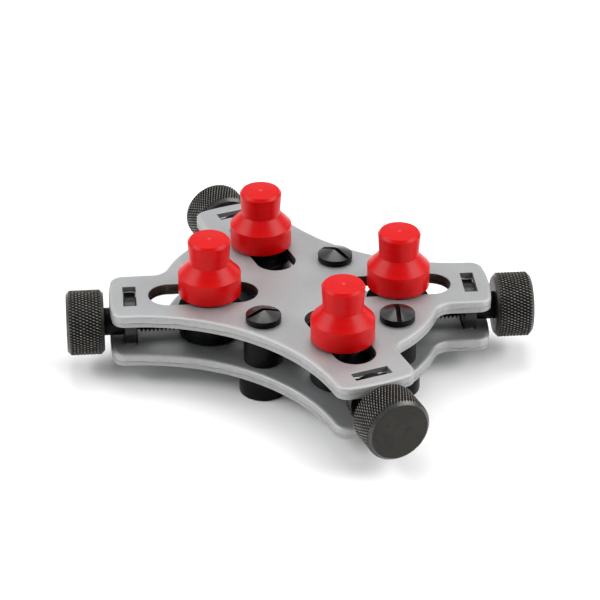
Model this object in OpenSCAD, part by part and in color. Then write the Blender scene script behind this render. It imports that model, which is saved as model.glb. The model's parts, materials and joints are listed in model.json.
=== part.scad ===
// Adjustable four-jaw holder for watch cases.
//
// Two steel plates of one outline are held apart by four pillars. Between them four
// sliders run, one along each arm, guided by a slot in the top plate. A captive lead screw
// with a knurled knob drives each slider, and each slider carries a turned plastic stud
// that grips a watch case.
//
// X is the long axis, Z is up, and the four feet stand on z = 0. All sizes are in
// millimetres.

/* [Plates] */
// Thickness of each plate
plate_t = 3; // [2.6:0.1:3.4]
// Clear height between the two plates
plate_gap = 8; // [7.6:0.1:9]
// Angle between an arm and the long axis
arm_angle = 35.9; // [35:0.1:37]
// Width of an arm
arm_w = 20.2; // [19.4:0.1:21]
// Distance from the centre to the rounded end of an arm
arm_reach = 47.5; // [47:0.1:48]
// Radius of the corners at the end of an arm
arm_corner_r = 3.2; // [1:0.1:5]
// Radius of the hollow long sides
side_r = 50; // [44:1:56]
// Radius of the two short ends, about the centre
end_r = 34.9; // [34:0.1:36]
// Radius of the fillet between a short end and an arm
end_fillet_r = 4.5; // [1:0.1:6]

/* [Slots] */
// Width of the slot that guides a slider
slot_w = 10.2; // [10.1:0.05:10.4]
// Distance from the centre to the near end of a slot
slot_near = 10.5; // [10:0.1:11]
// Distance from the centre to the far end of a slot
slot_far = 37.75; // [37.2:0.05:37.9]
// Length, along the arm, of the window that holds a screw's flange
window_l = 3.25; // [3.2:0.05:3.4]
// Width of that window across the arm
window_w = 9.4; // [9.2:0.1:9.8]
// Distance from the centre to the middle of a window
window_mid = 42.4; // [42.3:0.05:42.8]

/* [Pillars] */
// Distance from the centre to the pillars on the long axis
pillar_x = 27.6; // [27:0.1:28]
// Distance from the centre to the pillars on the short axis
pillar_y = 17.5; // [17.2:0.1:18]
// Diameter of the spacer between the plates
spacer_d = 9.75; // [8:0.05:10.5]
// Diameter of a foot
foot_d = 12; // [10:0.1:12.6]
// Height of a foot
foot_h = 5.8; // [5:0.1:8]
// Diameter of a pillar screw's shank
pillar_shank_d = 5; // [4:0.1:5]
// Diameter of a pillar screw's head
head_d = 8.7; // [8:0.1:10]
// Height of the head at its rim
head_rim_h = 1.65; // [1.2:0.05:2]
// Height of the head at its raised middle
head_peak_h = 3.3; // [2.1:0.1:3.5]
// Width of the screwdriver slot
driver_slot_w = 1.15; // [0.6:0.05:1.4]

/* [Lead screws] */
// Outer diameter of the thread
thread_d = 6; // [5.5:0.1:6]
// Distance from the centre to the near end of the thread
thread_near = 8; // [6:0.1:9]
// Diameter of the flange that runs in the windows
flange_d = 12; // [11:0.1:12]
// Thickness of the flange
flange_t = 2.95; // [2.5:0.05:2.95]
// Diameter of the plain journal between flange and knob
journal_d = 6.9; // [6.4:0.1:7.2]

/* [Knobs] */
// Diameter over the knurl
knob_d = 16.2; // [14:0.1:18]
// Length of the knob
knob_l = 9.3; // [7.5:0.1:11]
// Distance from the centre to the knob's near face
knob_near = 48.9; // [48.5:0.1:51]
// Size of the chamfer on both rims
knob_chamfer = 0.95; // [0.3:0.05:1.4]

/* [Sliders] */
// Diameter of the slider's body between the plates
slider_d = 15.6; // [14.5:0.1:15.8]
// Diameter of the neck that runs in the slot
neck_d = 10; // [9.6:0.05:10]
// Diameter of the spigot inside the stud
spigot_d = 6; // [5:0.1:6]
// Length of the spigot
spigot_l = 8.5; // [6:0.1:8.6]

/* [Studs] */
// Diameter of the stud's base
stud_base_d = 15.6; // [14:0.1:16]
// Height of the cylindrical base
stud_base_h = 5.5; // [4.5:0.1:6]
// Diameter of the waist
stud_waist_d = 9.8; // [9:0.1:10.4]
// Height of the cone between base and waist
stud_cone_h = 3.1; // [2.5:0.1:4]
// Largest diameter of the head
stud_head_d = 10.6; // [10.4:0.1:12]
// Height from the waist to the widest part of the head
stud_head_h = 5.6; // [4.5:0.1:7]
// Height of the bevel on top
stud_bevel_h = 0.75; // [0.5:0.05:1.5]

/* [Jaw positions] */
// Distance of the front right stud from the centre
rest_front_right = 25.7; // [15.6:0.05:32.5]
// Distance of the back right stud from the centre
rest_back_right = 24.55; // [15.6:0.05:32.5]
// Distance of the back left stud from the centre
rest_back_left = 25.2; // [15.6:0.05:32.5]
// Distance of the front left stud from the centre
rest_front_left = 22.5; // [15.6:0.05:32.5]

/* [Hidden] */
$fn = 96;

// Gap that lets one part slide or turn in another
slide_play = 0.15;
bore_play = 0.05;
// Gap between a flange and the near end of its windows
flange_play = 0.15;
// Gap between parts that are pressed or screwed together for good
seat_play = 0.02;
// Edge breaks on turned parts
edge_break = 0.3;
// Amount by which a cutting solid passes the face that it cuts
cut = 1;

// Heights
bottom_plate_z = foot_h;
axis_z = foot_h + plate_t + plate_gap / 2;
top_plate_z = foot_h + plate_t + plate_gap;
top_face_z = top_plate_z + plate_t;
// Gap between a stud's base and the top face
stud_lift = 0.4;

// Directions of the arms
dir_front_right = -arm_angle;
dir_back_right = arm_angle;
dir_back_left = 180 - arm_angle;
dir_front_left = 180 + arm_angle;
arm_dirs = [dir_front_right, dir_back_right, dir_back_left, dir_front_left];

// Centre of a corner arc, tangent to the arm's side and to its rounded end, in the
// arm's own axes
corner_y = arm_w / 2 - arm_corner_r;
corner_x = sqrt(pow(arm_reach - arm_corner_r, 2) - pow(corner_y, 2));
corner_dir = atan2(corner_y, corner_x);

// Centre of a long side's arc, which is tangent to two arms
side_y = (side_r + arm_w / 2) / cos(arm_angle);

// Centre of the fillet that joins a short end to an arm, in the arm's own axes
fillet_y = arm_w / 2 + end_fillet_r;
fillet_x = sqrt(pow(end_r + end_fillet_r, 2) - pow(fillet_y, 2));
fillet_dir = atan2(fillet_y, fillet_x);

// Largest step along an arc of the plates' outline, in degrees
arc_step = 3;

// Pillar places, each with the direction of its screwdriver slot
front_pillar = [0, -pillar_y, 55];
right_pillar = [pillar_x, 0, -54];
back_pillar = [0, pillar_y, -10];
left_pillar = [-pillar_x, 0, 12];
pillars = [front_pillar, right_pillar, back_pillar, left_pillar];

pillar_hole_d = pillar_shank_d + 2 * bore_play;
// Length of shank that is screwed into the foot
foot_thread_l = 4.2;
// Height above the plate of the screwdriver slot's floor, just below the head's rim
driver_slot_floor = head_rim_h - 0.05;

// Spigot that joins a lead screw to its knob
knob_spigot_d = 5;
knob_spigot_l = 6;

steel_grey = [0.74, 0.75, 0.76];
oxide_black = [0.10, 0.10, 0.11];
knob_black = [0.16, 0.15, 0.15];
stud_red = [0.80, 0.07, 0.08];

// ---- plates ----

function arc(centre, radius, from, to) =
    let (steps = max(2, ceil(abs(to - from) / arc_step)))
    [for (i = [0:steps])
        let (angle = from + (to - from) * i / steps)
        centre + radius * [cos(angle), sin(angle)]];

function turned(points, angle) =
    [for (p = points)
        [p.x * cos(angle) - p.y * sin(angle), p.x * sin(angle) + p.y * cos(angle)]];

function scaled(points, factors) = [for (p = points) [p.x * factors.x, p.y * factors.y]];
function reversed(points) = [for (i = [len(points) - 1:-1:0]) points[i]];
function without_first(points) = [for (i = [1:len(points) - 1]) points[i]];
function without_ends(points) = [for (i = [1:len(points) - 2]) points[i]];

// Arcs round the end of an arm and on to the short end, in the arm's own axes
arm_points = concat(
    arc([corner_x, corner_y], arm_corner_r, 90, corner_dir),
    without_first(arc([0, 0], arm_reach, corner_dir, -corner_dir)),
    without_first(arc([corner_x, -corner_y], arm_corner_r, -corner_dir, -90)),
    arc([fillet_x, -fillet_y], end_fillet_r, 90, 180 - fillet_dir),
    without_first(arc([0, 0], end_r, -fillet_dir, -arm_angle))
);

// A quarter of the outline, from the long side's middle to the short end's middle
quarter = concat(
    arc([0, side_y], side_r, -90, arm_angle - 90),
    turned(arm_points, arm_angle)
);

outline_points = concat(
    quarter,
    without_first(reversed(scaled(quarter, [1, -1]))),
    without_first(scaled(quarter, [-1, -1])),
    without_ends(reversed(scaled(quarter, [-1, 1])))
);

// Slot of one arm, along +X, that guides its slider
module arm_slot() {
    slot_r = slot_w / 2;
    translate([slot_near + slot_r, -slot_r])
        square([slot_far - slot_near - slot_w, slot_w]);
    for (x = [slot_near + slot_r, slot_far - slot_r])
        translate([x, 0])
            circle(r = slot_r);
}

// Window of one arm, along +X, that the flange of its lead screw turns in
module arm_window() {
    translate([window_mid, 0])
        square([window_l, window_w], center = true);
}

module plate(slotted) {
    linear_extrude(plate_t)
        difference() {
            polygon(outline_points);
            for (dir = arm_dirs)
                rotate(dir) {
                    arm_window();
                    if (slotted) arm_slot();
                }
            for (p = pillars)
                translate([p.x, p.y])
                    circle(d = pillar_hole_d);
        }
}

module top_plate() {
    color(steel_grey)
        translate([0, 0, top_plate_z])
            plate(slotted = true);
}

module bottom_plate() {
    color(steel_grey)
        translate([0, 0, bottom_plate_z])
            plate(slotted = false);
}

// ---- pillars ----

// Slotted screw that clamps both plates, a spacer and a foot together
module pillar_screw(place) {
    shank_l = 2 * plate_t + plate_gap + foot_thread_l;
    shank_r = pillar_shank_d / 2;
    head_r = head_d / 2;
    profile = [
        [0, -shank_l], [shank_r - edge_break, -shank_l], [shank_r, -shank_l + edge_break],
        [shank_r, 0], [head_r, 0],
        [head_r, head_rim_h - edge_break], [head_r - edge_break, head_rim_h],
        [0, head_peak_h]
    ];
    color(oxide_black)
        translate([place.x, place.y, top_face_z])
            rotate(place.z)
                difference() {
                    rotate_extrude() polygon(profile);
                    translate([-head_d, -driver_slot_w / 2, driver_slot_floor])
                        cube([2 * head_d, driver_slot_w, head_peak_h]);
                }
}

module spacer(place) {
    color(oxide_black)
        translate([place.x, place.y, bottom_plate_z + plate_t])
            difference() {
                cylinder(d = spacer_d, h = plate_gap);
                translate([0, 0, -cut])
                    cylinder(d = pillar_hole_d, h = plate_gap + 2 * cut);
            }
}

// Foot with a blind hole that takes the pillar screw
module foot(place) {
    foot_r = foot_d / 2;
    hole_l = foot_thread_l + edge_break;
    color(oxide_black)
        translate([place.x, place.y, 0])
            difference() {
                rotate_extrude()
                    polygon([
                        [0, 0], [foot_r - edge_break, 0], [foot_r, edge_break],
                        [foot_r, foot_h], [0, foot_h]
                    ]);
                translate([0, 0, foot_h - hole_l])
                    cylinder(d = pillar_shank_d + 2 * seat_play, h = hole_l + cut);
            }
}

// ---- screws, knobs, sliders and studs, each along its arm ----

// Turns a profile about the screw axis of an arm; the profile's y runs outwards
module turned_along_arm(dir) {
    rotate(dir)
        translate([0, 0, axis_z])
            rotate([0, 90, 0])
                rotate_extrude()
                    children();
}

module lead_screw(dir) {
    thread_r = thread_d / 2;
    flange_r = flange_d / 2;
    journal_r = journal_d / 2;
    spigot_r = knob_spigot_d / 2;
    flange_near = window_mid - window_l / 2 + flange_play;
    flange_far = flange_near + flange_t;
    spigot_end = knob_near + knob_spigot_l;
    color(oxide_black)
        turned_along_arm(dir)
            polygon([
                [0, thread_near], [thread_r - 2 * edge_break, thread_near],
                [thread_r, thread_near + 2 * edge_break],
                [thread_r, flange_near], [flange_r, flange_near],
                [flange_r, flange_far], [journal_r, flange_far],
                [journal_r, knob_near], [spigot_r, knob_near],
                [spigot_r, spigot_end], [0, spigot_end]
            ]);
}

module knob(dir) {
    knob_r = knob_d / 2;
    bore_r = knob_spigot_d / 2 + seat_play;
    bore_end = knob_near + knob_spigot_l + seat_play;
    knob_far = knob_near + knob_l;
    color(knob_black)
        turned_along_arm(dir)
            polygon([
                [bore_r, knob_near], [knob_r - knob_chamfer, knob_near],
                [knob_r, knob_near + knob_chamfer],
                [knob_r, knob_far - knob_chamfer], [knob_r - knob_chamfer, knob_far],
                [0, knob_far], [0, bore_end], [bore_r, bore_end]
            ]);
}

// Nut block between the plates, with a neck in the slot and a spigot for the stud
module slider(dir, rest) {
    body_r = slider_d / 2;
    neck_r = neck_d / 2;
    spigot_r = spigot_d / 2;
    body_half = plate_gap / 2 - slide_play;
    neck_high = plate_gap / 2 + plate_t + stud_lift;
    color(oxide_black)
        rotate(dir)
            translate([rest, 0, axis_z])
                difference() {
                    rotate_extrude()
                        polygon([
                            [0, -body_half], [body_r - edge_break, -body_half],
                            [body_r, -body_half + edge_break],
                            [body_r, body_half - edge_break],
                            [body_r - edge_break, body_half], [neck_r, body_half],
                            [neck_r, neck_high], [spigot_r, neck_high],
                            [spigot_r, neck_high + spigot_l], [0, neck_high + spigot_l]
                        ]);
                    rotate([0, 90, 0])
                        cylinder(d = thread_d + 2 * bore_play, h = slider_d + 2 * cut, center = true);
                }
}

// Red plastic stud: a wide base, a cone up to the waist and a head that widens again
module stud(dir, rest) {
    base_r = stud_base_d / 2;
    waist_r = stud_waist_d / 2;
    head_r = stud_head_d / 2;
    bore_r = spigot_d / 2 + seat_play;
    base_top = stud_base_h;
    waist_z = base_top + stud_cone_h;
    head_z = waist_z + stud_head_h;
    top_z = head_z + stud_bevel_h;
    // The bevel slopes in a little less than it rises
    top_r = head_r - 0.75 * stud_bevel_h;
    bore_top = spigot_l + seat_play;
    // Turning pip in the middle of the top
    pip_r = 0.4;
    pip_h = 0.15;
    color(stud_red)
        rotate(dir)
            translate([rest, 0, top_face_z + stud_lift])
                rotate_extrude()
                    polygon([
                        [bore_r, 0], [base_r - edge_break, 0], [base_r, edge_break],
                        [base_r, base_top], [waist_r, waist_z], [head_r, head_z],
                        [top_r, top_z], [pip_r, top_z], [pip_r, top_z + pip_h],
                        [0, top_z + pip_h], [0, bore_top], [bore_r, bore_top]
                    ]);
}

top_plate();
bottom_plate();
pillar_screw(front_pillar);  // pillar_screw_front
pillar_screw(right_pillar);  // pillar_screw_right
pillar_screw(back_pillar);  // pillar_screw_back
pillar_screw(left_pillar);  // pillar_screw_left
spacer(front_pillar);  // spacer_front
spacer(right_pillar);  // spacer_right
spacer(back_pillar);  // spacer_back
spacer(left_pillar);  // spacer_left
foot(front_pillar);  // foot_front
foot(right_pillar);  // foot_right
foot(back_pillar);  // foot_back
foot(left_pillar);  // foot_left
lead_screw(dir_front_right);  // lead_screw_front_right
lead_screw(dir_back_right);  // lead_screw_back_right
lead_screw(dir_back_left);  // lead_screw_back_left
lead_screw(dir_front_left);  // lead_screw_front_left
knob(dir_front_right);  // knob_front_right
knob(dir_back_right);  // knob_back_right
knob(dir_back_left);  // knob_back_left
knob(dir_front_left);  // knob_front_left
slider(dir_front_right, rest_front_right);  // slider_front_right
slider(dir_back_right, rest_back_right);  // slider_back_right
slider(dir_back_left, rest_back_left);  // slider_back_left
slider(dir_front_left, rest_front_left);  // slider_front_left
stud(dir_front_right, rest_front_right);  // stud_front_right
stud(dir_back_right, rest_back_right);  // stud_back_right
stud(dir_back_left, rest_back_left);  // stud_back_left
stud(dir_front_left, rest_front_left);  // stud_front_left
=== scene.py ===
"""Builds the looks of a four-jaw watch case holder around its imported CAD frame.

Shapes are made in millimetres, about a local Z axis where the real part is turned on a
lathe, and become metres when a piece is finished.
"""

import json
import math

import bmesh
import bpy
from mathutils import Matrix, Vector, noise
from mathutils.geometry import tessellate_polygon

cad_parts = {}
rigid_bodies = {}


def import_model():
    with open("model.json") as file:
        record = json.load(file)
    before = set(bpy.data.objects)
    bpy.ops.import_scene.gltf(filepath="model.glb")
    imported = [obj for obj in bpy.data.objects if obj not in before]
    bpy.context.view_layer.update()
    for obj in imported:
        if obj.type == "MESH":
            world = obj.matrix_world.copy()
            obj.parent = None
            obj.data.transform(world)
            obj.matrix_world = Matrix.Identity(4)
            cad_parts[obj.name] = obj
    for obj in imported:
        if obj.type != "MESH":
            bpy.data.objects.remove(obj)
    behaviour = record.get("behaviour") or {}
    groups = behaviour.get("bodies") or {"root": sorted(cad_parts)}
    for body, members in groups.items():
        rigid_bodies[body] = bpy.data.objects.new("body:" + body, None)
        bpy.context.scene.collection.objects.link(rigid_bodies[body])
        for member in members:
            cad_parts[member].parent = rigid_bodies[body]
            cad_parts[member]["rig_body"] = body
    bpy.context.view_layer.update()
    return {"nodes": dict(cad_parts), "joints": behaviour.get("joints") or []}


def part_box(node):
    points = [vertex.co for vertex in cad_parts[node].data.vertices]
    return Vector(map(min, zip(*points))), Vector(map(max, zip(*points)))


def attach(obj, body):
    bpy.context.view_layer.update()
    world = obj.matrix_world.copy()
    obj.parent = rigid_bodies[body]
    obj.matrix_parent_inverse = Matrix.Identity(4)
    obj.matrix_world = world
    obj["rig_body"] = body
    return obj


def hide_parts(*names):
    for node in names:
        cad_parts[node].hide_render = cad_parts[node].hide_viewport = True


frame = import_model()

MM = 0.001
ARMS = ("front_right", "back_right", "back_left", "front_left")
PILLARS = ("front", "right", "back", "left")
NODES = frame["nodes"]
JOINTS = {j["name"]: j for j in frame["joints"]}

# Distances that count as nothing, in metres in a CAD mesh and in mm elsewhere
CAD_WELD = 1e-7
CAD_LEVEL = 1e-6
WELD = 0.001
CUT_WELD = 1e-5
ON_AXIS = 1e-6

# Turned parts
TURN_STEPS = 96
FILLET_STEPS = 3
FILLET_SHARE = 0.45
CREASE_DEG = 40
CUT_CREASE_DEG = 35

# Plates: the section of a blanked edge, rolled over above and torn below
EDGE_SPACING = 0.6
OUTLINE_ROLL = (0.85, 0.40)
HOLE_ROLL = (0.16, 0.16)
ROLL_CURVE = ((1, 0), (0.62, 0.07), (0.30, 0.26), (0.10, 0.55))
TEAR_HEIGHT = 1.15
TEAR_INSET = 0.14
TEAR_GAP = 0.10
LIP_HEIGHT = 0.20
LIP_REACH = 0.18
BURR_HEIGHT = 0.14
BURR_INSET = 0.08
CRACK_FADE = 0.2
WINDOW_CORNERS = 4
SHARP_TURN_DEG = 30
ARC_SIDE_RATIO = 1.6

# How a blanked edge wanders: shares of its height or depth, and lengths of its waves in mm
ROLL_CHANGE = 0.35
ROLL_WAVE = 5.0
TEAR_CHANGE = 0.5
TEAR_WAVE = 9.0
TEAR_RIPPLE = 0.25
RIPPLE_WAVE = 1.5
CRACK_MEAN = 0.65
CRACK_CHANGE = 1.3
CRACK_LEAST = 0.12
CRACK_WAVE = 5.0

# Kinds of face on a plate, in the order of its materials
FACE, RIM, WALL, WINDOW, LIP = range(5)

# Lead screws: a right-hand M6 x 1 thread
PITCH = 1.0
THREAD_DEPTH = 0.61
THREAD_STEPS = 40
CREST_SHARE = 0.125
FLANK_SHARE = 0.354
RELIEF_LENGTH = 0.9
RELIEF_DEPTH = 0.7
END_CHAMFER = 0.6
CHAMFER_START = 0.15
SCREW_CREASE_DEG = 30
JOURNAL_R = 3.45
KNOB_SPIGOT_R = 2.5
KNOB_BORE_R = 2.52
KNOB_BORE_DEPTH = 6.02

# Knobs: a diamond knurl between two chamfers, deeper along its right-hand grooves
KNOB_CHAMFER = 0.95
KNURL_COUNT = 64
KNURL_ROWS = 9
KNURL_DEPTH = 0.36
KNURL_SADDLE_DEPTH = 0.13
KNURL_LAND = 0.2
KNURL_CREASE_DEG = 22
# Corners of a land, and the flanks that fall from it to the pits beside it, by column and row
KNURL_SIDES = (("east", 1, 0), ("north", 0, 1), ("west", -1, 0), ("south", 0, -1))
KNURL_FLANKS = (("east", "north", 1, 1), ("east", "south", 1, -1),
                ("west", "north", -1, 1), ("west", "south", -1, -1))

# Studs
STUD_BORE_R = 3.02
STUD_BORE_DEPTH = 8.52
STUD_BASE_H = 5.5
STUD_WAIST_R = 4.9
STUD_CONE_H = 3.1
STUD_HEAD_R = 5.3
STUD_HEAD_H = 5.6
STUD_BEVEL_H = 0.75
STUD_TOP_R = 4.74
STUD_PIP_R = 0.35
STUD_PIP_H = 0.15

# Sliders, pillar screws, spacers and feet
NECK_R = 5.0
SLIDER_SPIGOT_R = 3.0
SLIDER_BORE_R = 3.05
SLIDER_BODY_HALF = 3.85
SLIDER_NECK_HIGH = 7.4
SHANK_R = 2.5
HEAD_RIM_H = 1.65
HEAD_PEAK_H = 3.3
HEAD_TIP_R = 0.15
HEAD_TIP_H = 0.05
DRIVER_SLOT_W = 1.15
DRIVER_SLOT_FLOOR = 1.6
DRIVER_SLOT_DIRECTIONS = {"front": 55, "right": -54, "back": -10, "left": 12}
SLOPE_NORMAL = 0.7
PILLAR_HOLE_R = 2.55
FOOT_HOLE_R = 2.52
FOOT_HOLE_DEPTH = 4.5


# ---- placing ----

def screw_frame(arm):
    """Frame of an arm's screw: Z runs outwards along it from above the origin, X is up."""
    joint = JOINTS[f"knob_{arm}_turn"]
    along = -Vector(joint["axis"])
    up = Vector((0, 0, 1))
    turn = Matrix((up, along.cross(up), along)).transposed().to_4x4()
    return Matrix.Translation((0, 0, joint["pos_m"][2])) @ turn


def upright_frame(node, height, direction=0):
    """Frame of an upright part: Z is up through the node's middle, from a height in metres."""
    low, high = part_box(node)
    middle = (low + high) / 2
    turn = Matrix.Rotation(math.radians(direction), 4, "Z")
    return Matrix.Translation((middle.x, middle.y, height)) @ turn


def lathe_points(node, place):
    """(radius, height) in mm of each vertex of a CAD node, about and along the Z of place."""
    back = place.inverted()
    points = [back @ v.co for v in NODES[node].data.vertices]
    return [(math.hypot(p.x, p.y) / MM, p.z / MM) for p in points]


def measured(node, place):
    """(lowest, highest, radius) in mm of a turned CAD node, along and about the Z of place."""
    radii, heights = zip(*lathe_points(node, place))
    return min(heights), max(heights), max(radii)


def finish_piece(mesh, node, kind, place, materials, crease=CREASE_DEG):
    """Turns a bmesh in mm into a piece that stands for a CAD node and rides on its body."""
    bmesh.ops.recalc_face_normals(mesh, faces=mesh.faces)
    bmesh.ops.scale(mesh, vec=(MM, MM, MM), verts=mesh.verts)
    data = bpy.data.meshes.new(f"{node}_{kind}")
    mesh.to_mesh(data)
    mesh.free()
    data.shade_smooth()
    data.set_sharp_from_angle(angle=math.radians(crease))
    for material in materials:
        data.materials.append(material)
    piece = bpy.data.objects.new(data.name, data)
    bpy.context.scene.collection.objects.link(piece)
    piece.matrix_world = place
    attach(piece, NODES[node]["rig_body"])
    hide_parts(node)
    return piece


# ---- turning ----

def filleted(outline, closed=False):
    """Rounds the corners of an outline of (radius, height[, fillet]) with arcs."""
    count = len(outline)
    points = []
    for i, corner in enumerate(outline):
        here = Vector(corner[:2])
        fillet = corner[2] if len(corner) > 2 else 0
        if not fillet or (not closed and i in (0, count - 1)):
            points.append(here)
            continue
        back = Vector(outline[i - 1][:2]) - here
        ahead = Vector(outline[(i + 1) % count][:2]) - here
        half = back.angle(ahead) / 2
        reach = min(fillet / math.tan(half), FILLET_SHARE * min(back.length, ahead.length))
        radius = reach * math.tan(half)
        back.normalize()
        ahead.normalize()
        centre = here + (back + ahead).normalized() * (radius / math.sin(half))
        first = (here + back * reach - centre).normalized()
        last = (here + ahead * reach - centre).normalized()
        for k in range(FILLET_STEPS + 1):
            points.append(centre + first.slerp(last, k / FILLET_STEPS) * radius)
    return points


def ring(mesh, radius, height, angles):
    """A circle of vertices, or one vertex on the axis."""
    if radius < ON_AXIS:
        return [mesh.verts.new((0, 0, height))]
    return [mesh.verts.new((radius * math.cos(a), radius * math.sin(a), height))
            for a in angles]


def bridge(mesh, one, other):
    """Faces between two rings of the same length, or between a ring and a point."""
    count = max(len(one), len(other))
    for k in range(count):
        following = (k + 1) % count
        if len(one) == 1:
            mesh.faces.new((one[0], other[following], other[k]))
        elif len(other) == 1:
            mesh.faces.new((one[k], one[following], other[0]))
        else:
            mesh.faces.new((one[k], one[following], other[following], other[k]))


def turn_on(mesh, start, outline, angles):
    """Carries a ring on along an outline, and returns the last ring."""
    for radius, height in outline:
        following = ring(mesh, radius, height, angles)
        bridge(mesh, start, following)
        start = following
    return start


def turned(outline, closed=False):
    """Mesh of revolution of an outline from axis to axis, or of a closed outline."""
    mesh = bmesh.new()
    angles = [2 * math.pi * k / TURN_STEPS for k in range(TURN_STEPS)]
    points = filleted(outline, closed)
    first = ring(mesh, *points[0], angles)
    last = turn_on(mesh, first, points[1:], angles)
    if closed:
        bridge(mesh, last, first)
    return mesh


def cut_away(mesh, cutter):
    """The first mesh less the second."""
    scene = bpy.context.scene
    parts = []
    for shape in (mesh, cutter):
        bmesh.ops.recalc_face_normals(shape, faces=shape.faces)
        data = bpy.data.meshes.new("blank")
        shape.to_mesh(data)
        shape.free()
        part = bpy.data.objects.new("blank", data)
        scene.collection.objects.link(part)
        parts.append(part)
    blank, tool = parts
    cut = blank.modifiers.new("cut", "BOOLEAN")
    cut.operation = "DIFFERENCE"
    cut.solver = "EXACT"
    cut.object = tool
    depsgraph = bpy.context.evaluated_depsgraph_get()
    result = bmesh.new()
    result.from_mesh(blank.evaluated_get(depsgraph).to_mesh())
    bmesh.ops.remove_doubles(result, verts=result.verts, dist=WELD)
    for part in parts:
        data = part.data
        bpy.data.objects.remove(part)
        bpy.data.meshes.remove(data)
    return result


# ---- materials ----

class Surface:
    """A Principled material with helpers that add procedural detail to it."""

    def __init__(self, name, metallic=0.0, specular=0.5, coat=0.0, coat_roughness=0.1):
        self.material = bpy.data.materials.new(name)
        self.material.use_nodes = True
        self.tree = self.material.node_tree
        self.shader = self.tree.nodes["Principled BSDF"]
        self.shader.inputs["Metallic"].default_value = metallic
        self.shader.inputs["Specular IOR Level"].default_value = specular
        self.shader.inputs["Coat Weight"].default_value = coat
        self.shader.inputs["Coat Roughness"].default_value = coat_roughness
        self.place = self.node("ShaderNodeTexCoord").outputs["Object"]

    def node(self, kind, **settings):
        made = self.tree.nodes.new(kind)
        for name, value in settings.items():
            setattr(made, name, value)
        return made

    def put(self, value, socket):
        """Links an output to a socket, or sets a number or colour on it."""
        if isinstance(value, bpy.types.NodeSocket):
            self.tree.links.new(value, socket)
        else:
            socket.default_value = value

    def maths(self, operation, *values):
        made = self.node("ShaderNodeMath", operation=operation)
        for value, socket in zip(values, made.inputs):
            self.put(value, socket)
        return made.outputs[0]

    def stretched(self, factors, place=None):
        """Coordinates in which detail is drawn out along an axis with a small factor."""
        made = self.node("ShaderNodeVectorMath", operation="MULTIPLY")
        self.put(place or self.place, made.inputs[0])
        made.inputs[1].default_value = factors
        return made.outputs["Vector"]

    def lathe_place(self):
        """Coordinates (distance from the axis, height), so that detail runs round the axis."""
        parts = self.node("ShaderNodeSeparateXYZ")
        self.put(self.place, parts.inputs[0])
        x, y, z = parts.outputs
        squares = self.maths("ADD", self.maths("MULTIPLY", x, x), self.maths("MULTIPLY", y, y))
        made = self.node("ShaderNodeCombineXYZ")
        self.put(self.maths("SQRT", squares), made.inputs[0])
        self.put(z, made.inputs[1])
        return made.outputs[0]

    def noise(self, size_mm, place=None, detail=2.0, roughness=0.5):
        """Noise from 0 to 1 whose features are about size_mm across."""
        made = self.node("ShaderNodeTexNoise")
        self.put(place or self.place, made.inputs["Vector"])
        made.inputs["Scale"].default_value = 1 / (size_mm * MM)
        made.inputs["Detail"].default_value = detail
        made.inputs["Roughness"].default_value = roughness
        return made.outputs["Fac"]

    def between(self, factor, low, high, start=0.3, end=0.7):
        """A number that goes from low to high while the factor goes from start to end."""
        made = self.node("ShaderNodeMapRange")
        self.put(factor, made.inputs["Value"])
        limits = {"From Min": start, "From Max": end, "To Min": low, "To Max": high}
        for name, value in limits.items():
            made.inputs[name].default_value = value
        return made.outputs["Result"]

    def blend(self, factor, one, other):
        """A colour between two colours, given as RGB or as outputs."""
        made = self.node("ShaderNodeMix", data_type="RGBA")
        self.put(factor, made.inputs["Factor"])
        for name, colour in (("A", one), ("B", other)):
            if not isinstance(colour, bpy.types.NodeSocket):
                colour = (*colour, 1)
            self.put(colour, next(s for s in made.inputs if s.name == name and s.type == "RGBA"))
        return next(s for s in made.outputs if s.type == "RGBA")

    def mark(self, name):
        """A number that the mesh carries on its points."""
        return self.node("ShaderNodeAttribute", attribute_name=name).outputs["Fac"]

    def bump(self, *layers):
        """Bump from layers of (height from 0 to 1, depth in mm)."""
        normal = None
        for height, depth in layers:
            made = self.node("ShaderNodeBump")
            made.inputs["Strength"].default_value = 1.0
            made.inputs["Distance"].default_value = depth * MM
            self.put(height, made.inputs["Height"])
            if normal is not None:
                self.put(normal, made.inputs["Normal"])
            normal = made.outputs["Normal"]
        self.put(normal, self.shader.inputs["Normal"])

    def colour(self, value):
        self.put(value, self.shader.inputs["Base Color"])

    def roughness(self, value):
        self.put(value, self.shader.inputs["Roughness"])


def plate_face():
    """Steel plate, finely blasted: satin, with faint cloudy patches."""
    surface = Surface("plate_face", metallic=0.7)
    cloud = surface.noise(9.0, detail=3.0)
    grain = surface.noise(0.22, detail=3.0)
    tone = surface.maths("MULTIPLY_ADD", grain, 0.5, surface.maths("MULTIPLY", cloud, 0.5))
    tone = surface.between(tone, 0, 1)
    surface.colour(surface.blend(tone, (0.345, 0.357, 0.363), (0.405, 0.417, 0.423)))
    surface.roughness(surface.between(surface.noise(1.3), 0.46, 0.54))
    surface.bump((grain, 0.010), (cloud, 0.03))
    return surface.material


def plate_edge():
    """Blanked edge: bright and streaked along the stroke, a little rougher where the metal tore, and
    darkened there to nearly black as painted shade, most of all along the crack.
    """
    surface = Surface("plate_edge", metallic=0.6)
    streak = surface.noise(0.5, surface.stretched((1, 1, 0.15)), detail=3.0)
    torn_and_shade = surface.mark("torn_and_shade")
    tone = surface.between(streak, 0, 1, 0.35, 0.65)
    bright = surface.blend(tone, (0.38, 0.385, 0.38), (0.42, 0.425, 0.42))
    # painted shade: nearly black where the mark of the tear is, most of all along the crack of the
    # outline
    tear_shade = surface.blend(tone, (0.05, 0.05, 0.05), (0.10, 0.10, 0.10))
    surface.colour(surface.blend(torn_and_shade, bright, tear_shade))
    rougher = surface.maths("MULTIPLY", torn_and_shade, 0.05)
    surface.roughness(surface.maths("ADD", surface.between(streak, 0.50, 0.60), rougher))
    surface.bump((streak, 0.006), (surface.noise(0.2), 0.006))
    return surface.material


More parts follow.
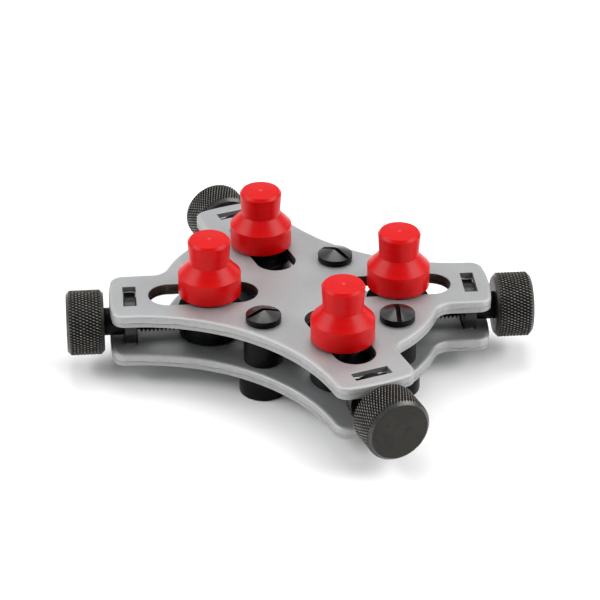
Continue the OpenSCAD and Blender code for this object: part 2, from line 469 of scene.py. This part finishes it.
def hole_wall_painted_shade(name, sheared_shade_tone, torn_shade_tone):
    """Wall of a punched hole, coloured darker than the faces as painted shade, and darkest low down
    where the metal tore.
    """
    surface = Surface(name, metallic=0.3)
    streak = surface.noise(0.7, surface.stretched((1, 1, 0.15)), detail=3.0)
    tone = surface.between(streak, 0, 1)
    # painted shade: the sheared part and the lower part of the wall both get dark colours
    sheared_shade = surface.blend(tone, sheared_shade_tone, tuple(1.3 * c for c in sheared_shade_tone))
    torn_and_shade = surface.blend(tone, torn_shade_tone, tuple(1.5 * c for c in torn_shade_tone))
    surface.colour(surface.blend(surface.mark("torn_and_shade"), sheared_shade, torn_and_shade))
    surface.roughness(surface.between(streak, 0.42, 0.55))
    surface.bump((streak, 0.008), (surface.noise(0.2), 0.006))
    return surface.material


def lip_painted_highlight():
    """Lip that the punch smears out where the wall of a window starts to tear, coloured lighter than
    the plate as a painted highlight.
    """
    surface = Surface("lip_painted_highlight", metallic=0.3)
    lip_tone_noise = surface.noise(0.35, detail=3.0)
    tone = surface.between(lip_tone_noise, 0, 1)
    surface.colour(surface.blend(tone, (0.38, 0.38, 0.38), (0.54, 0.54, 0.54)))
    surface.roughness(surface.between(lip_tone_noise, 0.42, 0.54))
    surface.bump((lip_tone_noise, 0.01), (surface.noise(0.1), 0.003))
    return surface.material


def blackened(name, low, high, roughness, specular=0.4, mark_size=0.22, mark_depth=0.004):
    """Black oxide on turned steel: lathe marks round the axis and a slight mottle."""
    surface = Surface(name, specular=specular)
    marks = surface.noise(mark_size, surface.lathe_place(), detail=2.0)
    mottle = surface.noise(1.6, detail=3.0)
    surface.colour(surface.blend(surface.between(mottle, 0, 1), low, high))
    surface.roughness(surface.between(marks, roughness - 0.05, roughness + 0.07))
    surface.bump((marks, mark_depth), (surface.noise(0.12), 0.002))
    return surface


def stained_steel(name, specular):
    """Black oxide on a knob, with cloudy brownish stains."""
    surface = blackened(name, (0.011, 0.0105, 0.009), (0.021, 0.020, 0.018), 0.38, specular)
    stain = surface.between(surface.noise(3.0, detail=4.0), 0, 0.8, 0.4, 0.65)
    oxide = surface.shader.inputs["Base Color"].links[0].from_socket
    surface.colour(surface.blend(stain, oxide, (0.024, 0.019, 0.012)))
    return surface


def knurled_steel():
    """Stained black oxide on a knurl: painted shade makes it black in the grooves, and the tips are
    lighter, partly rubbed bright by wear and partly a painted glint.
    """
    surface = stained_steel("knurled_steel", 0.12)
    mottle = surface.noise(1.1, detail=3.0)
    relief = surface.mark("relief")
    plain = surface.shader.inputs["Base Color"].links[0].from_socket
    # painted shade: the colour goes to black down in the grooves
    groove_shade_mask = surface.between(relief, 1, 0, -0.6, 0.2)
    with_groove_shade = surface.blend(groove_shade_mask, plain, (0.0015, 0.0015, 0.0015))
    # the tips are lighter and more metallic, partly rubbed by wear and partly a painted glint
    tip = surface.between(relief, 0, 1, 0.45, 0.95)
    worn_and_glint = surface.maths("MULTIPLY", tip, surface.between(mottle, 0.35, 1.0))
    surface.colour(surface.blend(worn_and_glint, with_groove_shade, (0.36, 0.355, 0.335)))
    surface.put(surface.maths("MULTIPLY", worn_and_glint, 0.6), surface.shader.inputs["Metallic"])
    return surface.material


def chamfered_steel():
    """Chamfers of the knobs, turned smooth through the knurl and thinly blackened."""
    surface = Surface("chamfered_steel", metallic=0.6)
    marks = surface.noise(0.25, surface.lathe_place(), detail=2.0)
    wear = surface.between(surface.noise(0.9, detail=3.0), 0, 1)
    surface.colour(surface.blend(wear, (0.045, 0.045, 0.042), (0.085, 0.084, 0.08)))
    surface.roughness(surface.between(marks, 0.30, 0.42))
    surface.bump((marks, 0.003), (surface.noise(0.12), 0.002))
    return surface.material


def red_plastic():
    """Turned red plastic: saturated, satin, with fine rings from the tool."""
    surface = Surface("red_plastic", specular=0.15)
    rings = surface.noise(0.45, surface.lathe_place(), detail=3.0)
    cloud = surface.between(surface.noise(3.0), 0, 1)
    plain = surface.blend(cloud, (0.49, 0.0004, 0.0010), (0.54, 0.0010, 0.0016))
    surface.colour(surface.blend(surface.between(rings, 0, 0.22), plain, (0.72, 0.010, 0.012)))
    surface.roughness(surface.between(rings, 0.28, 0.38))
    surface.bump((rings, 0.024), (surface.noise(0.15), 0.003))
    return surface.material


def pip_painted_highlight():
    """Plastic of the pip in the middle of a stud's top, coloured lighter and whiter as a painted
    highlight.
    """
    surface = Surface("pip_painted_highlight", specular=0.15)
    surface.colour(surface.blend(surface.noise(0.2), (0.70, 0.02, 0.02), (0.78, 0.10, 0.10)))
    surface.roughness(0.5)
    surface.bump((surface.noise(0.1), 0.02))
    return surface.material


DEEP_BLACK = (0.002, 0.002, 0.002)
OILED_BLACK = (0.005, 0.005, 0.005)
# Painted light: the upward slopes of the pillar screw heads get a lighter black than the rest of the
# same screws, as if lit from above.
SLOPE_BLACKS_PAINTED_LIGHT = ((0.006, 0.006, 0.006), (0.014, 0.014, 0.013))

PLATE_FACE = plate_face()
PLATE_EDGE = plate_edge()
# Painted shade: the walls of the slots and windows are coloured much darker than the plate.
SLOT_WALL_PAINTED_SHADE = hole_wall_painted_shade("slot_wall_painted_shade", (0.075, 0.060, 0.054), (0.030, 0.026, 0.024))
WINDOW_WALL_PAINTED_SHADE = hole_wall_painted_shade("window_wall_painted_shade", (0.15, 0.15, 0.15), (0.02, 0.02, 0.02))
# Painted highlight: the lip is coloured light to make a bright line along each window's wall.
LIP_PAINTED_HIGHLIGHT = lip_painted_highlight()
BLACK_STEEL = blackened("black_steel", DEEP_BLACK, OILED_BLACK, 0.32, 0.09).material
SLOPE_STEEL_PAINTED_LIGHT = blackened("slope_steel_painted_light", *SLOPE_BLACKS_PAINTED_LIGHT, 0.28, 0.7, mark_depth=0.0025).material
SCREW_STEEL = blackened("screw_steel", DEEP_BLACK, OILED_BLACK, 0.24, 0.35, mark_depth=0.0015).material
KNURLED_STEEL = knurled_steel()
CHAMFERED_STEEL = chamfered_steel()
FACED_STEEL = stained_steel("faced_steel", 0.22).material
RED_PLASTIC = red_plastic()
PIP_PAINTED_HIGHLIGHT = pip_painted_highlight()


# ---- plates ----

def upper_loops(node):
    """Outlines of a plate's upper face in mm, the outer one first, with material on the left."""
    mesh = bmesh.new()
    mesh.from_mesh(NODES[node].data)
    bmesh.ops.remove_doubles(mesh, verts=mesh.verts, dist=CAD_WELD)
    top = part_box(node)[1].z
    upper = [f for f in mesh.faces if all(abs(v.co.z - top) < CAD_LEVEL for v in f.verts)]
    inner = set(upper)
    following = {}
    for face in upper:
        for corner in face.loops:
            if not any(f in inner for f in corner.edge.link_faces if f is not face):
                following[corner.vert] = corner.link_loop_next.vert
    loops = []
    while following:
        start, here = following.popitem()
        chain = [start]
        while here is not start:
            chain.append(here)
            here = following.pop(here)
        loops.append([Vector(v.co.xy) / MM for v in chain])
    mesh.free()
    return sorted(loops, key=lambda loop: max(p.length for p in loop), reverse=True)


def outward(direction):
    """Unit vector to the right of a direction, away from the material."""
    return Vector((direction.y, -direction.x)).normalized()


def tangents_between(sides):
    """(arriving tangent, leaving tangent, bend) where each side of a loop starts.

    A straight side that runs into an arc gives its direction to the point between them.
    """
    tangents = []
    for i, side in enumerate(sides):
        before = sides[i - 1]
        bend = before.angle(side)
        if bend > math.radians(SHARP_TURN_DEG):
            tangents.append((before.normalized(), side.normalized(), bend))
            continue
        if before.length > ARC_SIDE_RATIO * side.length:
            along = before.normalized()
        elif side.length > ARC_SIDE_RATIO * before.length:
            along = side.normalized()
        else:
            along = (before.normalized() + side.normalized()).normalized()
        tangents.append((along, along, 0))
    return tangents


def on_curve(t, start, leaving, end, arriving, length):
    """(point, heading) at t from 0 to 1 on a cubic curve with unit tangents at its ends."""
    point = (start * (2 * t ** 3 - 3 * t ** 2 + 1)
             + leaving * (length * (t ** 3 - 2 * t ** 2 + t))
             + end * (3 * t ** 2 - 2 * t ** 3)
             + arriving * (length * (t ** 3 - t ** 2)))
    heading = (start * (6 * t ** 2 - 6 * t)
               + leaving * (length * (3 * t ** 2 - 4 * t + 1))
               + end * (6 * t - 6 * t ** 2)
               + arriving * (length * (3 * t ** 2 - 2 * t)))
    return point, heading


def resampled(points):
    """Places along a loop as (point, outward normal, inset factor), on arcs where it bends."""
    count = len(points)
    sides = [points[(i + 1) % count] - points[i] for i in range(count)]
    tangents = tangents_between(sides)
    places = []
    for i, side in enumerate(sides):
        entering, leaving, bend = tangents[i]
        arriving = tangents[(i + 1) % count][0]
        end = points[(i + 1) % count]
        normal = (outward(entering) + outward(leaving)).normalized()
        places.append((points[i], normal, 1 / math.cos(bend / 2)))
        parts = max(1, math.ceil(side.length / EDGE_SPACING))
        for k in range(1, parts):
            point, heading = on_curve(k / parts, points[i], leaving, end, arriving, side.length)
            places.append((point, outward(heading), 1))
    return places


def wave(point, size, seed):
    """Smooth noise from -1 to 1 along an outline, with features about size mm long."""
    return noise.noise(Vector((point.x / size, point.y / size, seed)))


def edge_section(point, thickness, roll, lip, crack, seed):
    """Section of a blanked edge from the upper face down: (inset, height, torn, kind).

    Below its tear the wall is marked all the way down, or has only a crack that comes and goes. Where
    marked, the colour is darkened as painted shade.
    """
    width, drop = roll
    drop *= 1 + ROLL_CHANGE * wave(point, ROLL_WAVE, seed)
    tear = TEAR_HEIGHT * (1 + TEAR_CHANGE * wave(point, TEAR_WAVE, seed + 5)
                          + TEAR_RIPPLE * wave(point, RIPPLE_WAVE, seed + 9))
    share = CRACK_MEAN + CRACK_CHANGE * wave(point, CRACK_WAVE, seed + 13)
    share = max(CRACK_LEAST, min(1, share))
    depth = TEAR_INSET * share
    torn_and_shade = CRACK_FADE if crack else 1
    end_of_shear = [(0, tear + TEAR_GAP, 0, WALL)]
    if lip:
        end_of_shear = [(0, tear + TEAR_GAP + LIP_HEIGHT, 0, LIP),
                        (-LIP_REACH, tear + TEAR_GAP, 0, WALL)]
    return [
        *((across * width, thickness - down * drop, 0, RIM) for across, down in ROLL_CURVE),
        (0, thickness - drop, 0, WALL),
        *end_of_shear,
        # painted shade: this mark darkens the crack of the outline and the hole walls below their tear
        (depth, tear + 0.02, share if crack else 1, WALL),
        (0.25 * depth, tear - TEAR_GAP, torn_and_shade, WALL),
        (0.15 * depth, BURR_HEIGHT, 0.6 * torn_and_shade, RIM),
        (0, 0.4 * BURR_HEIGHT, 0, RIM),
        (BURR_INSET, 0, 0, RIM),
    ]


def edge_columns(mesh, points, base, wall, style):
    """Vertices down the edge of one outline, as columns of (vertex, kind of the face below).

    The style is what edge_section takes after its point, and its walls become the given kind.
    """
    torn_and_shade = mesh.verts.layers.float["torn_and_shade"]
    columns = []
    for point, normal, factor in resampled(points):
        column = []
        for inset, height, mark, kind in edge_section(point, *style):
            inward = point - normal * (inset * factor)
            vertex = mesh.verts.new((inward.x, inward.y, base + height))
            vertex[torn_and_shade] = mark
            column.append((vertex, wall if kind == WALL else kind))
        columns.append(column)
    return columns


def blanked_plate(node, seed):
    """A plate with the edge that a blanking press leaves on its outline and holes."""
    low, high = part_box(node)
    base = low.z / MM
    thickness = (high.z - low.z) / MM
    mesh = bmesh.new()
    # mark of where the metal tore, which the edge colours darken as painted shade
    mesh.verts.layers.float.new("torn_and_shade")
    upper, lower = [], []
    for order, points in enumerate(upper_loops(node)):
        window = len(points) == WINDOW_CORNERS
        if not order:
            style, wall = (thickness, OUTLINE_ROLL, False, True, seed), RIM
        else:
            style, wall = (thickness, HOLE_ROLL, window, False, seed), WINDOW if window else WALL
        columns = edge_columns(mesh, points, base, wall, style)
        for k, column in enumerate(columns):
            following = columns[(k + 1) % len(columns)]
            for (one, kind), (two, _), (three, _), (four, _) in zip(
                    column, column[1:], following[1:], following):
                mesh.faces.new((one, two, three, four)).material_index = kind
        upper.append([column[0][0] for column in columns])
        lower.append([column[-1][0] for column in columns])
    for rims in (upper, lower):
        vertices = [v for rim in rims for v in rim]
        for corners in tessellate_polygon([[v.co for v in rim] for rim in rims]):
            mesh.faces.new([vertices[k] for k in corners]).material_index = FACE
    materials = (PLATE_FACE, PLATE_EDGE, SLOT_WALL_PAINTED_SHADE, WINDOW_WALL_PAINTED_SHADE, LIP_PAINTED_HIGHLIGHT)
    piece = finish_piece(mesh, node, "blanked", Matrix.Identity(4), materials)
    for face in piece.data.polygons:
        face.use_smooth = face.material_index != FACE
    return piece


# ---- lead screws ----

def helix(mesh, start, end, radius):
    """Open screw thread that runs past both ends of the stretch and rises over its start."""
    root = radius - THREAD_DEPTH
    section = [(0, radius), (CREST_SHARE, radius),
               (CREST_SHARE + FLANK_SHARE, root), (1 - FLANK_SHARE, root)]
    turns = math.ceil((end - start) / PITCH) + 3
    rows = []
    for k in range(turns * THREAD_STEPS + 1):
        angle = 2 * math.pi * k / THREAD_STEPS
        row = []
        for share, r in section:
            height = start + PITCH * (k / THREAD_STEPS + share - 2)
            rise = max(0, height - start) * root / (END_CHAMFER * 2)
            r = min(r, root - CHAMFER_START + rise)
            row.append(mesh.verts.new((r * math.cos(angle), r * math.sin(angle), height)))
        rows.append(row)
    for k in range(len(rows) - 1):
        for one, two in ((0, 1), (1, 2), (2, 3)):
            mesh.faces.new((rows[k][one], rows[k + 1][one], rows[k + 1][two], rows[k][two]))
        if k + 1 + THREAD_STEPS < len(rows):
            mesh.faces.new((rows[k][3], rows[k + 1][3],
                            rows[k + 1 + THREAD_STEPS][0], rows[k + THREAD_STEPS][0]))


def cut_across(mesh, height, keep_above):
    """Cuts the mesh across its axis and returns the vertices of the cut, in order of angle."""
    cut = bmesh.ops.bisect_plane(
        mesh, geom=mesh.verts[:] + mesh.edges[:] + mesh.faces[:], dist=CUT_WELD,
        plane_co=(0, 0, height), plane_no=(0, 0, 1),
        clear_inner=keep_above, clear_outer=not keep_above)["geom_cut"]
    vertices = [g for g in cut if isinstance(g, bmesh.types.BMVert)]
    return sorted(vertices, key=lambda v: math.atan2(v.co.y, v.co.x))


def threaded_screw(arm):
    """Lead screw: thread, relief, flange, journal and the spigot inside the knob."""
    node = f"lead_screw_{arm}"
    place = screw_frame(arm)
    near, far, flange_r = measured(node, place)
    heights = {}
    for radius, height in lathe_points(node, place):
        heights.setdefault(round(radius, 2), []).append(height)
    flange = heights[round(flange_r, 2)]
    flange_near, flange_far = min(flange), max(flange)
    knob_near = max(heights[JOURNAL_R])
    thread_r = max(r for r, zs in heights.items() if r < JOURNAL_R and max(zs) < flange_near + WELD)
    mesh = bmesh.new()
    thread_end = flange_near - RELIEF_LENGTH
    helix(mesh, near, thread_end, thread_r)
    start_rim = cut_across(mesh, near, True)
    end_rim = cut_across(mesh, thread_end, False)
    mesh.faces.new(start_rim)
    angles = [math.atan2(v.co.y, v.co.x) for v in end_rim]
    relief_r = thread_r - RELIEF_DEPTH
    outline = filleted([
        (relief_r, thread_end), (relief_r, flange_near, 0.2),
        (flange_r, flange_near, 0.15), (flange_r, flange_far, 0.15),
        (JOURNAL_R, flange_far, 0.12), (JOURNAL_R, knob_near, 0.05),
        (KNOB_SPIGOT_R, knob_near), (KNOB_SPIGOT_R, far), (0, far),
    ])
    turn_on(mesh, end_rim, outline, angles)
    for face in mesh.faces:
        face.material_index = int(face.calc_center_median().z > flange_far + 0.1)
    materials = (SCREW_STEEL, BLACK_STEEL)
    return finish_piece(mesh, node, "threaded", place, materials, SCREW_CREASE_DEG)


# ---- knobs ----

def knurl(mesh, radius, low, high):
    """Diamond knurl between two heights. Returns its first and its last ring of vertices.

    Flat lands and deep pits alternate like the fields of a chessboard, and the right-hand
    grooves run straight from pit to pit. The left-hand ones rise to a saddle between two.
    """
    row_step = (high - low) / KNURL_ROWS
    columns = 2 * KNURL_COUNT
    relief = mesh.verts.layers.float.new("relief")

    def vertex(column, row, r, mark):
        angle = 2 * math.pi * column / columns
        height = low + row * row_step
        if row in (0, KNURL_ROWS):
            height += (radius - r) * (1 if row else -1)
        made = mesh.verts.new((r * math.cos(angle), r * math.sin(angle), height))
        made[relief] = mark
        return made

    pits, lands = {}, {}
    for row in range(KNURL_ROWS + 1):
        for column in range(columns):
            if (row + column) % 2:
                pits[column, row] = vertex(column, row, radius - KNURL_DEPTH, -1)
                continue
            lands[column, row] = {
                side: vertex(column + dx * KNURL_LAND, row + dy * KNURL_LAND, radius, 1)
                for side, dx, dy in KNURL_SIDES if 0 <= row + dy <= KNURL_ROWS}
    saddles = {}
    for (column, row), land in lands.items():
        mesh.faces.new(list(land.values()))
        for across, along, dx, dy in KNURL_FLANKS:
            if along not in land:
                continue
            one, beside = land[across], pits[(column + dx) % columns, row]
            other, beyond = land[along], pits[column, row + dy]
            if dx != dy:
                mesh.faces.new((one, beside, beyond, other))
                continue
            key = (2 * column + dx) % (2 * columns), 2 * row + dy
            if key not in saddles:
                middle = column + dx / 2, row + dy / 2
                saddles[key] = vertex(*middle, radius - KNURL_SADDLE_DEPTH, 0)
            saddle = saddles[key]
            for corners in ((one, beside, saddle), (one, saddle, other), (other, saddle, beyond)):
                mesh.faces.new(corners)

    def rim(row):
        ordered = []
        for column in range(row % 2, columns, 2):
            land = lands[column, row]
            ordered += [land["west"], land["east"], pits[(column + 1) % columns, row]]
        return ordered

    return rim(0), rim(KNURL_ROWS)


def knurled_knob(arm):
    """Knob whose diamond knurl is cut off by a chamfer at both rims."""
    node = f"knob_{arm}"
    place = screw_frame(arm)
    near, far, radius = measured(node, place)
    low, high = near + KNOB_CHAMFER, far - KNOB_CHAMFER
    face_r = radius - KNOB_CHAMFER
    near_end = [(radius, low), (face_r, near, 0.12), (KNOB_BORE_R, near, 0.05),
                (KNOB_BORE_R, near + KNOB_BORE_DEPTH), (0, near + KNOB_BORE_DEPTH)]
    far_end = [(radius, high), (face_r, far, 0.14), (0.3 * face_r, far), (0, far)]
    mesh = bmesh.new()
    for start, outline in zip(knurl(mesh, radius, low, high), (near_end, far_end)):
        angles = [math.atan2(v.co.y, v.co.x) for v in start]
        turn_on(mesh, start, filleted(outline)[1:], angles)
    for face in mesh.faces:
        middle = face.calc_center_median()
        if not low < middle.z < high:
            face.material_index = 1 if math.hypot(middle.x, middle.y) > face_r else 2
    materials = (KNURLED_STEEL, CHAMFERED_STEEL, FACED_STEEL)
    return finish_piece(mesh, node, "knurled", place, materials, KNURL_CREASE_DEG)


# ---- studs and sliders ----

def turned_stud(arm):
    """Stud: base, cone, waist and a head that widens upwards, with a pip on top."""
    node = f"stud_{arm}"
    place = upright_frame(node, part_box(node)[0].z)
    base_r = measured(node, place)[2]
    waist = STUD_BASE_H + STUD_CONE_H
    head = waist + STUD_HEAD_H
    top = head + STUD_BEVEL_H
    mesh = turned([
        (0, STUD_BORE_DEPTH), (STUD_BORE_R, STUD_BORE_DEPTH), (STUD_BORE_R, 0, 0.15),
        (base_r, 0, 0.25), (base_r, STUD_BASE_H, 0.14),
        (STUD_WAIST_R, waist, 0.18), (STUD_HEAD_R, head, 0.16), (STUD_TOP_R, top, 0.12),
        (STUD_PIP_R, top, 0.1), (0.6 * STUD_PIP_R, top + STUD_PIP_H), (0, top + STUD_PIP_H),
    ])
    for face in mesh.faces:
        # the pip on top takes the painted highlight
        face.material_index = int(face.calc_center_median().z > top)
    return finish_piece(mesh, node, "turned", place, (RED_PLASTIC, PIP_PAINTED_HIGHLIGHT))


def bored_slider(arm):
    """Nut block: turned, then bored across for its lead screw."""
    node = f"slider_{arm}"
    axis = screw_frame(arm)
    quarter = math.radians(90)
    upright = axis.to_3x3().to_4x4() @ Matrix.Rotation(quarter, 4, "Y")
    place = upright_frame(node, axis.translation.z) @ upright
    low, high, body_r = measured(node, place)
    body = turned([
        (0, low), (body_r, low, 0.35), (body_r, SLIDER_BODY_HALF, 0.35),
        (NECK_R, SLIDER_BODY_HALF, 0.1), (NECK_R, SLIDER_NECK_HIGH, 0.1),
        (SLIDER_SPIGOT_R, SLIDER_NECK_HIGH), (SLIDER_SPIGOT_R, high, 0.3), (0, high),
    ])
    reach = 2 * body_r
    bore = turned([(0, -reach), (SLIDER_BORE_R, -reach), (SLIDER_BORE_R, reach), (0, reach)])
    bmesh.ops.rotate(bore, matrix=Matrix.Rotation(quarter, 3, "Y"), verts=bore.verts)
    mesh = cut_away(body, bore)
    return finish_piece(mesh, node, "bored", place, (BLACK_STEEL,), CUT_CREASE_DEG)


# ---- pillars ----

def slotted_screw(pillar):
    """Pillar screw: shank and a low conical head with a screwdriver slot."""
    node = f"pillar_screw_{pillar}"
    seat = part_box("top_plate")[1].z
    place = upright_frame(node, seat, DRIVER_SLOT_DIRECTIONS[pillar])
    low, _, head_r = measured(node, place)
    screw = turned([
        (0, low), (SHANK_R, low, 0.3), (SHANK_R, 0), (head_r, 0, 0.08),
        (head_r, HEAD_RIM_H, 0.08), (HEAD_TIP_R, HEAD_PEAK_H - HEAD_TIP_H), (0, HEAD_PEAK_H),
    ])
    slot = bmesh.new()
    bmesh.ops.create_cube(slot, size=1)
    depth = 2 * HEAD_PEAK_H
    bmesh.ops.scale(slot, vec=(4 * head_r, DRIVER_SLOT_W, depth), verts=slot.verts)
    bmesh.ops.translate(slot, vec=(0, 0, DRIVER_SLOT_FLOOR + depth / 2), verts=slot.verts)
    mesh = cut_away(screw, slot)
    for face in mesh.faces:
        # faces of the head that look upwards take the lighter copy of the black steel, as painted
        # light
        above_rim = face.calc_center_median().z > HEAD_RIM_H
        face.material_index = int(above_rim and face.normal.z > SLOPE_NORMAL)
    materials = (BLACK_STEEL, SLOPE_STEEL_PAINTED_LIGHT)
    return finish_piece(mesh, node, "slotted", place, materials, CUT_CREASE_DEG)


def turned_spacer(pillar):
    """Tube between the plates, round a pillar screw's shank."""
    node = f"spacer_{pillar}"
    place = upright_frame(node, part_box(node)[0].z)
    low, high, radius = measured(node, place)
    mesh = turned([
        (PILLAR_HOLE_R, low), (radius, low, 0.2), (radius, high, 0.2), (PILLAR_HOLE_R, high),
    ], closed=True)
    return finish_piece(mesh, node, "turned", place, (BLACK_STEEL,))


def turned_foot(pillar):
    """Foot with the blind hole that a pillar screw ends in."""
    node = f"foot_{pillar}"
    place = upright_frame(node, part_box(node)[0].z)
    low, high, radius = measured(node, place)
    mesh = turned([
        (0, low), (radius, low, 0.35), (radius, high, 0.15), (FOOT_HOLE_R, high),
        (FOOT_HOLE_R, high - FOOT_HOLE_DEPTH), (0, high - FOOT_HOLE_DEPTH),
    ])
    return finish_piece(mesh, node, "turned", place, (BLACK_STEEL,))


# ---- the holder ----

for seed, plate in enumerate(("top_plate", "bottom_plate")):
    blanked_plate(plate, 31.7 * seed)
for pillar in PILLARS:
    slotted_screw(pillar)
    turned_spacer(pillar)
    turned_foot(pillar)
for arm in ARMS:
    threaded_screw(arm)
    knurled_knob(arm)
    bored_slider(arm)
    turned_stud(arm)


# ---- studio ----

CAMERA_AZIMUTH = 30.382
CAMERA_ELEVATION = 30.48
CAMERA_ROLL = 0.369
CAMERA_DISTANCE = 0.63124
CAMERA_LENS = 152.15
CAMERA_SHIFT_Y = -0.0184
WORLD_FRONT = 0.32
WORLD_BACK = 0.68
FLOOR_HALF = 4
SOFTBOX_DISTANCE = 0.9
# Name, azimuth from the camera's, elevation, size in metres, power in watts
SOFTBOXES = (
    ("left_softbox", -85, 38, (0.75, 0.35), 5.4),
    ("right_softbox", 82, 38, (0.75, 0.35), 6.4),
    ("back_softbox", 180, 68, (0.55, 0.5), 2.9),
)


def directions(azimuth, elevation):
    """(right, up, back) of a view; azimuth 0 looks along +Y."""
    a, e = math.radians(azimuth), math.radians(elevation)
    right = Vector((math.cos(a), math.sin(a), 0))
    back = Vector((math.sin(a) * math.cos(e), -math.cos(a) * math.cos(e), math.sin(e)))
    return right, back.cross(right), back


def add_camera():
    """Camera aimed at the middle of the top plate, from its front right."""
    right, up, back = directions(CAMERA_AZIMUTH, CAMERA_ELEVATION)
    roll = math.radians(CAMERA_ROLL)
    across = right * math.cos(roll) + up * math.sin(roll)
    above = up * math.cos(roll) - right * math.sin(roll)
    aim = Vector((0, 0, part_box("top_plate")[1].z))
    data = bpy.data.cameras.new("camera")
    data.lens = CAMERA_LENS
    data.shift_y = CAMERA_SHIFT_Y
    data.clip_start = 0.01
    data.clip_end = 20
    camera = bpy.data.objects.new("camera", data)
    turn = Matrix((across, above, back)).transposed().to_4x4()
    camera.matrix_world = Matrix.Translation(aim + back * CAMERA_DISTANCE) @ turn
    bpy.context.scene.collection.objects.link(camera)
    bpy.context.scene.camera = camera


def add_softbox(name, azimuth, elevation, size, power):
    """Rectangular light that faces the origin."""
    back = directions(CAMERA_AZIMUTH + azimuth, elevation)[2]
    data = bpy.data.lights.new(name, "AREA")
    data.shape = "RECTANGLE"
    data.size, data.size_y = size
    data.energy = power
    light = bpy.data.objects.new(name, data)
    light.location = back * SOFTBOX_DISTANCE
    light.rotation_mode = "QUATERNION"
    light.rotation_quaternion = back.to_track_quat("Z", "Y")
    bpy.context.scene.collection.objects.link(light)


def add_floor():
    """Plain pale floor that the feet stand on."""
    surface = Surface("floor")
    surface.colour(surface.blend(surface.noise(40.0), (0.90, 0.90, 0.90), (0.92, 0.92, 0.92)))
    surface.roughness(0.8)
    mesh = bmesh.new()
    bmesh.ops.create_grid(mesh, x_segments=1, y_segments=1, size=FLOOR_HALF)
    data = bpy.data.meshes.new("floor")
    mesh.to_mesh(data)
    mesh.free()
    data.materials.append(surface.material)
    floor = bpy.data.objects.new("floor", data)
    bpy.context.scene.collection.objects.link(floor)


def add_world():
    """Soft light from all round, brighter from behind the holder than from the camera's side."""
    world = bpy.data.worlds.new("studio")
    world.use_nodes = True
    tree = world.node_tree
    background = tree.nodes["Background"]
    place = tree.nodes.new("ShaderNodeTexCoord")
    along = tree.nodes.new("ShaderNodeVectorMath")
    along.operation = "DOT_PRODUCT"
    along.inputs[1].default_value = -directions(CAMERA_AZIMUTH, 0)[2]
    strength = tree.nodes.new("ShaderNodeMapRange")
    strength.inputs["From Min"].default_value = -1
    strength.inputs["To Min"].default_value = WORLD_FRONT
    strength.inputs["To Max"].default_value = WORLD_BACK
    tree.links.new(place.outputs["Generated"], along.inputs[0])
    tree.links.new(along.outputs["Value"], strength.inputs["Value"])
    tree.links.new(strength.outputs["Result"], background.inputs["Strength"])
    background.inputs["Color"].default_value = (1, 1, 1, 1)
    bpy.context.scene.world = world
    bpy.context.scene.view_settings.view_transform = "Standard"


add_camera()
add_floor()
add_world()
for softbox in SOFTBOXES:
    add_softbox(*softbox)
